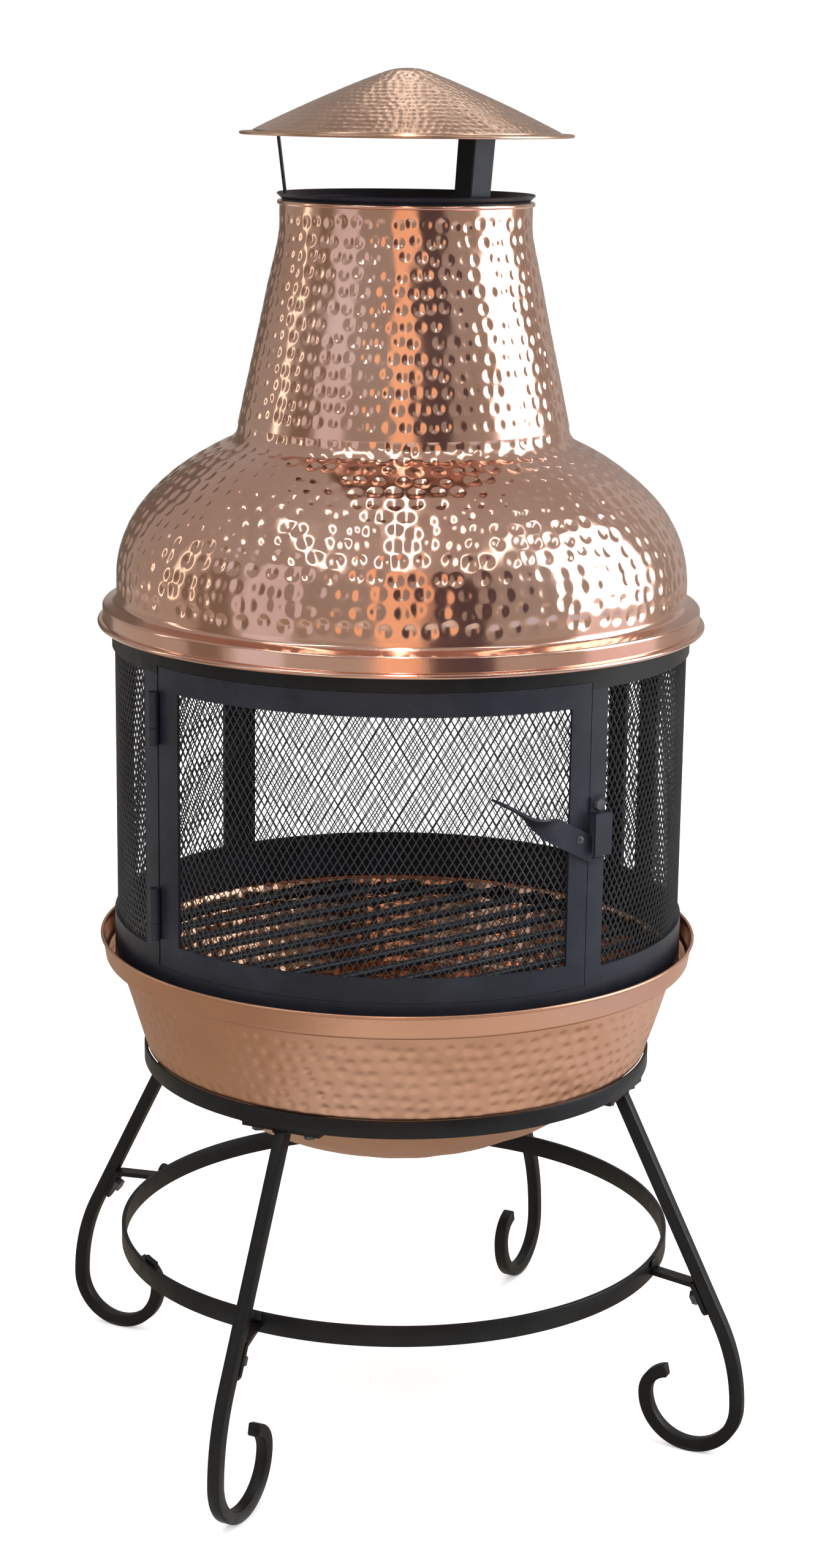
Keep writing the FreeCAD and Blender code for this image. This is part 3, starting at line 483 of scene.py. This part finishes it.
def swept_bar(name, line, sideways, section, node, body):
    """A bar along a path: section (across, along sideways) carried square to the path, with domed ends."""
    line = np.asarray(line, float)
    run = np.gradient(line, axis=0)
    run /= np.linalg.norm(run, axis=1)[:, None]
    sideways = np.broadcast_to(np.asarray(sideways, float), line.shape)
    across = np.cross(sideways, run)
    across /= np.linalg.norm(across, axis=1)[:, None]
    side = np.cross(run, across)
    rows = []
    for k in range(len(line)):
        rows.append(line[k] + section[:, :1] * across[k] + section[:, 1:] * side[k])
    domed = ((0.7, 0.9), (1.2, 0.7))
    start = [line[0] - run[0] * push + (rows[0] - line[0]) * shrink for push, shrink in domed[::-1]]
    finish = [line[-1] + run[-1] * push + (rows[-1] - line[-1]) * shrink for push, shrink in domed]
    rows = np.stack(start + rows + finish)
    count = rows.shape[1]
    faces = grid_faces(len(rows), count).tolist()
    faces.append(list(range(count))[::-1])
    faces.append(list(range((len(rows) - 1) * count, len(rows) * count)))
    mesh_piece(name, rows, faces, STAND_STEEL_AND_FLANGE_SHADE, body, (node,))


def leg(name, azimuth):
    """Square bar: straight run, bow, scroll and curl, in one upright plane."""
    slope = math.radians(27)
    reach, bow, scroll, curl = 382.2, 195.0, 48.5, 26.0
    level = BAR / 2 + scroll
    bow_centre = reach - bow
    foot = (bow_centre + bow * math.cos(slope), level + bow * math.sin(slope))
    top = 366.5
    head = (foot[0] - (top - foot[1]) * math.tan(slope), top)
    bow_run = circle_points((bow_centre, level), bow, 27, -27, 16)
    scroll_centre = reach - scroll
    scroll_run = circle_points((scroll_centre, level), scroll, 360, -180, 40)
    curl_run = circle_points((scroll_centre - scroll + curl, level), curl, 180, -80, 16)
    profile = path(head, np.linspace(head, foot, 12), bow_run, scroll_run, curl_run)
    angle = math.radians(azimuth)
    out = np.array([math.sin(angle), -math.cos(angle), 0])
    line = profile[:, :1] * out + profile[:, 1:] * np.array([0, 0, 1.0])
    sideways = np.array([math.cos(angle), math.sin(angle), 0])
    swept_bar(name, line, sideways, rounded_section(BAR, BAR, 1.4), name, "stand")


def welds():
    """Lumps of weld where the arms meet the lower ring and where the legs meet their plates."""
    lumps = [(285.0, azimuth, 187.0, (3.4, 9.0, 6.4)) for azimuth in (-27.9, 67.3, 155.5, -117.7)]
    lumps += [(247.3, LEG_AZIMUTH + 90 * index + side, 366.5, (8.5, 3.4, 3.0))
              for index in range(4) for side in (-1.5, 1.5)]
    columns, rows = 20, 12
    turn, climb = np.meshgrid(np.radians(all_round(columns)), np.radians(np.linspace(-88, 88, rows)))
    ball = np.stack([np.cos(climb) * np.cos(turn), np.cos(climb) * np.sin(turn), np.sin(climb)], -1)
    points, faces = [], []
    for radius, azimuth, level, half in lumps:
        swell = 1 + 0.14 * np.cos(3 * turn + dice.uniform(0, TAU)) * np.cos(climb)
        swell += 0.1 * np.cos(2 * turn + dice.uniform(0, TAU)) * np.cos(2 * climb)
        angle = math.radians(azimuth)
        out, along = (math.sin(angle), -math.cos(angle), 0), (math.cos(angle), math.sin(angle), 0)
        lump = (ball * swell[..., None] * half).reshape(-1, 3) @ np.array([out, along, (0, 0, 1)])
        faces.append(grid_faces(rows, columns) + len(points) * rows * columns)
        points.append(lump + np.array(out) * radius + (0, 0, level))
    mesh_piece("stand_welds", np.concatenate(points), np.concatenate(faces).tolist(), STAND_STEEL_AND_FLANGE_SHADE,
               "stand", ("brace_ring",))


def soft_lamp(name, place, target, size, power, colour=(1, 1, 1)):
    """A soft box that lights the object and the floor but leaves no square in the copper."""
    data = bpy.data.lights.new(name, "AREA")
    data.shape = "RECTANGLE"
    data.size, data.size_y = size
    data.energy = power
    data.color = colour
    lamp = bpy.data.objects.new(name, data)
    aim = Vector(target) - Vector(place)
    lamp.matrix_world = Matrix.Translation(place) @ aim.to_track_quat("-Z", "Y").to_matrix().to_4x4()
    bpy.context.scene.collection.objects.link(lamp)
    lamp.visible_glossy = False


def glow_material(name, colour, strength):
    material = bpy.data.materials.new(name)
    material.use_nodes = True
    tree = material.node_tree
    tree.nodes.clear()
    glow = tree.nodes.new("ShaderNodeEmission")
    glow.inputs["Color"].default_value = (*colour, 1)
    glow.inputs["Strength"].default_value = strength
    output = tree.nodes.new("ShaderNodeOutputMaterial")
    tree.links.new(glow.outputs[0], output.inputs["Surface"])
    return material


def card(name, corners, colour, strength):
    """A flat card in the room that only the gloss of the object sees."""
    mesh = bpy.data.meshes.new(name)
    mesh.from_pydata([tuple(c) for c in corners], [], [(0, 1, 2, 3)])
    mesh.materials.append(glow_material(name, colour, strength))
    piece = bpy.data.objects.new(name, mesh)
    bpy.context.scene.collection.objects.link(piece)
    piece.visible_camera = False
    piece.visible_diffuse = False
    piece.visible_shadow = False
    piece.visible_transmission = False


def upright_card(name, azimuth, distance, width, low, high, colour, strength):
    angle = math.radians(azimuth)
    centre = Vector((math.sin(angle), -math.cos(angle), 0)) * distance
    side = Vector((math.cos(angle), math.sin(angle), 0)) * width / 2
    foot, head = Vector((0, 0, low)), Vector((0, 0, high))
    card(name, (centre - side + foot, centre + side + foot, centre + side + head, centre - side + head),
         colour, strength)


def ceiling_card(name, x, y, width, length, level, colour, strength):
    card(name, ((x - width / 2, y - length / 2, level), (x + width / 2, y - length / 2, level),
                (x + width / 2, y + length / 2, level), (x - width / 2, y + length / 2, level)),
         colour, strength)


def surround():
    """The room the copper mirrors: bright a little below eye level, dimmer above and straight down."""
    world = bpy.data.worlds.new("surround")
    bpy.context.scene.world = world
    world.use_nodes = True
    tree = world.node_tree
    coords = tree.nodes.new("ShaderNodeTexCoord")
    split = tree.nodes.new("ShaderNodeSeparateXYZ")
    tree.links.new(coords.outputs["Generated"], split.inputs[0])
    height = tree.nodes.new("ShaderNodeMapRange")
    height.inputs["From Min"].default_value = -1.0
    height.inputs["From Max"].default_value = 1.0
    tree.links.new(split.outputs["Z"], height.inputs["Value"])
    ramp = tree.nodes.new("ShaderNodeValToRGB")
    tree.links.new(height.outputs["Result"], ramp.inputs["Fac"])
    stops = ((0.0, (0.4, 0.38, 0.36)), (0.1, (0.66, 0.64, 0.62)), (0.22, (0.98, 0.95, 0.92)),
             (0.34, (0.66, 0.62, 0.57)), (0.43, (0.42, 0.39, 0.35)), (0.5, (0.4, 0.38, 0.35)),
             (0.68, (0.4, 0.38, 0.37)), (1.0, (0.45, 0.43, 0.42)))
    elements = ramp.color_ramp.elements
    while len(elements) < len(stops):
        elements.new(0.5)
    for element, (place, colour) in zip(elements, stops):
        element.position = place
        element.color = (*colour, 1)
    tree.links.new(ramp.outputs["Color"], tree.nodes["Background"].inputs["Color"])
    tree.nodes["Background"].inputs["Strength"].default_value = 1.0


def floor_and_backdrop():
    """One pale sheet: a floor that curves up into a backdrop all round, far outside the object."""
    radii = [0.0, 1.5, 3.0, 5.0, 7.0, 8.2, 9.2, 10.0, 10.6, 11.0, 11.2, 11.2]
    levels = [0, 0, 0, 0, 0, 0.12, 0.5, 1.2, 2.2, 3.4, 5.0, 9.0]
    points = turned(np.array(radii) / MM, np.array(levels) / MM, all_round(96)) * MM
    mesh = bpy.data.meshes.new("floor")
    faces = grid_faces(len(radii), 96)[:, ::-1]
    mesh.from_pydata(points.reshape(-1, 3).tolist(), [], faces.tolist())
    mesh.polygons.foreach_set("use_smooth", [True] * len(mesh.polygons))
    nodes = Nodes("floor")
    cloud = nodes.ramp(nodes.noise(0.7), [(0.3, (0.89, 0.89, 0.89)), (0.7, (0.91, 0.91, 0.91))])
    nodes.into("Base Color", cloud)
    nodes.shader.inputs["Roughness"].default_value = 0.9
    nodes.shader.inputs["Emission Color"].default_value = (1, 1, 1, 1)
    nodes.shader.inputs["Emission Strength"].default_value = 0.3
    mesh.materials.append(nodes.material)
    floor = bpy.data.objects.new("floor", mesh)
    bpy.context.scene.collection.objects.link(floor)
    floor.visible_glossy = False


def stage():
    """Pale surround, soft lamps, and the lights and dark shapes the copper mirrors."""
    bpy.context.scene.view_settings.view_transform = "Standard"
    surround()
    floor_and_backdrop()
    soft_lamp("top_soft", (0.0, -0.2, 4.4), (0, 0, 0.6), (4.5, 4.5), 150)
    soft_lamp("front_left_soft", (-2.6, -3.2, 2.9), (0, 0, 0.7), (1.8, 1.8), 45)
    soft_lamp("front_right_soft", (3.0, -2.0, 2.0), (0, 0, 0.7), (1.6, 2.0), 52, (0.84, 0.9, 1.0))
    soft_lamp("back_soft", (1.5, 3.4, 2.6), (0, 0, 0.7), (2.6, 2.2), 50)
    upright_card("card_window", 89, 2.6, 1.8, 0.6, 3.4, (0.94, 0.96, 1.0), 5.5)
    upright_card("card_window_foot", 89, 2.6, 1.8, 0.0, 0.6, (1.0, 0.92, 0.95), 0.95)
    upright_card("card_window_back", 142, 3.0, 0.8, 0.4, 3.0, (1, 0.98, 0.95), 0.55)
    upright_card("card_dark", 22, 2.6, 1.05, 0.0, 2.6, (0.55, 0.42, 0.46), 0.2)
    upright_card("card_warm", -0.5, 3.3, 1.0, 0.0, 3.4, (1.0, 0.63, 0.41), 1.2)
    upright_card("card_pale_left", -52, 2.8, 1.0, 0.0, 2.8, (0.88, 0.89, 0.98), 0.9)
    upright_card("card_left_dark", -75, 2.8, 0.8, 0.0, 2.2, (0.62, 0.52, 0.42), 0.42)
    upright_card("card_left_lamp", -97, 2.8, 0.2, 0.6, 2.4, (1, 0.95, 0.85), 3.0)
    upright_card("card_rear_left", -150, 3.0, 1.2, 0.0, 2.4, (0.6, 0.5, 0.42), 0.3)
    ceiling_card("card_floor_left", -1.55, -0.3, 2.2, 3.2, 0.004, (0.6, 0.53, 0.44), 0.72)
    ceiling_card("card_floor_right", 1.7, -0.8, 1.5, 2.6, 0.004, (0.72, 0.8, 1.0), 0.95)
    # A dim card on the floor behind and under the object: painted shadow of the object on the floor, as the
    # copper mirrors it.
    ceiling_card("card_floor_shadow", 0.0, 0.35, 1.3, 1.2, 0.004, (0.6, 0.5, 0.4), 0.7)
    ceiling_card("card_tube_middle", 0.0, -1.1, 0.07, 3.6, 3.4, (1, 1, 1), 22)
    ceiling_card("card_tube_cap", 0.0, 1.7, 0.05, 2.0, 3.4, (1, 0.98, 0.95), 5.5)
    ceiling_card("card_tube_left", -1.5, -1.4, 0.1, 2.6, 3.4, (1, 1, 0.98), 16)
    ceiling_card("card_tube_right", 1.6, -1.3, 0.1, 2.0, 3.4, (1, 1, 1), 13)
    ceiling_card("card_tube_rear", 0.3, 2.4, 1.6, 0.12, 3.4, (1, 0.98, 0.95), 8)


def camera():
    """Eye of the photograph: a little over the cap's height, looking slightly down."""
    data = bpy.data.cameras.new("camera")
    data.sensor_fit = "VERTICAL"
    data.sensor_height = 36.0
    data.lens = 66.504
    eye = bpy.data.objects.new("camera", data)
    bpy.context.scene.collection.objects.link(eye)
    pitch, yaw, roll = (math.radians(a) for a in (13.54, 0.28, 0.75))
    forward = Vector((math.sin(yaw), math.cos(yaw), 0))
    right = Vector((math.cos(yaw), -math.sin(yaw), 0))
    up = Vector((0, 0, 1))
    ahead = forward * math.cos(pitch) - up * math.sin(pitch)
    above = up * math.cos(pitch) + forward * math.sin(pitch)
    level = right * math.cos(roll) + above * math.sin(roll)
    crown = above * math.cos(roll) - right * math.sin(roll)
    turn = Matrix((level, crown, -ahead)).transposed().to_4x4()
    eye.matrix_world = Matrix.Translation((0, -2.8362, 1.3368)) @ turn
    bpy.context.scene.camera = eye


# ---------------------------------------------------------------- build

hood()
bowl()
rain_cap()
mesh_panel("screen_mesh_left", "mesh_left", "screen", (-142.2, -54.5), 518, 812)
mesh_panel("screen_mesh_rear", "mesh_rear", "screen", (125.6, 217.6), 518, 812)
mesh_panel("screen_mesh_right", "mesh_right", "screen", (39.4, 125.4), 518, 812)
mesh_panel("door_mesh", "mesh_door", "door", (-49.6, 34.6), 520, 800)
for index, name in enumerate(("leg_front", "leg_right", "leg_rear", "leg_left")):
    leg(name, LEG_AZIMUTH + 90 * index)
bar_ring("stand_top_ring", 257.8, 254.8, 370.5, 388, "stand_ring", "stand")
bar_ring("stand_brace_ring", 283, 278.5, 170.5, 191, "brace_ring", "stand")
welds()
for name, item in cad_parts.items():
    # The screen's top ring takes the darker stand steel: painted shade under the hood's flange.
    finish = STAND_STEEL_AND_FLANGE_SHADE if name.startswith(("leg_", "brace_", "stand_", "screen_top")) else STEEL
    if name in ("leg_plate_bolts", "brace_bolts", "keeper_bolt", "latch_rivet"):
        finish = BOLT
    item.data.materials.clear()
    item.data.materials.append(finish)
stage()
camera()
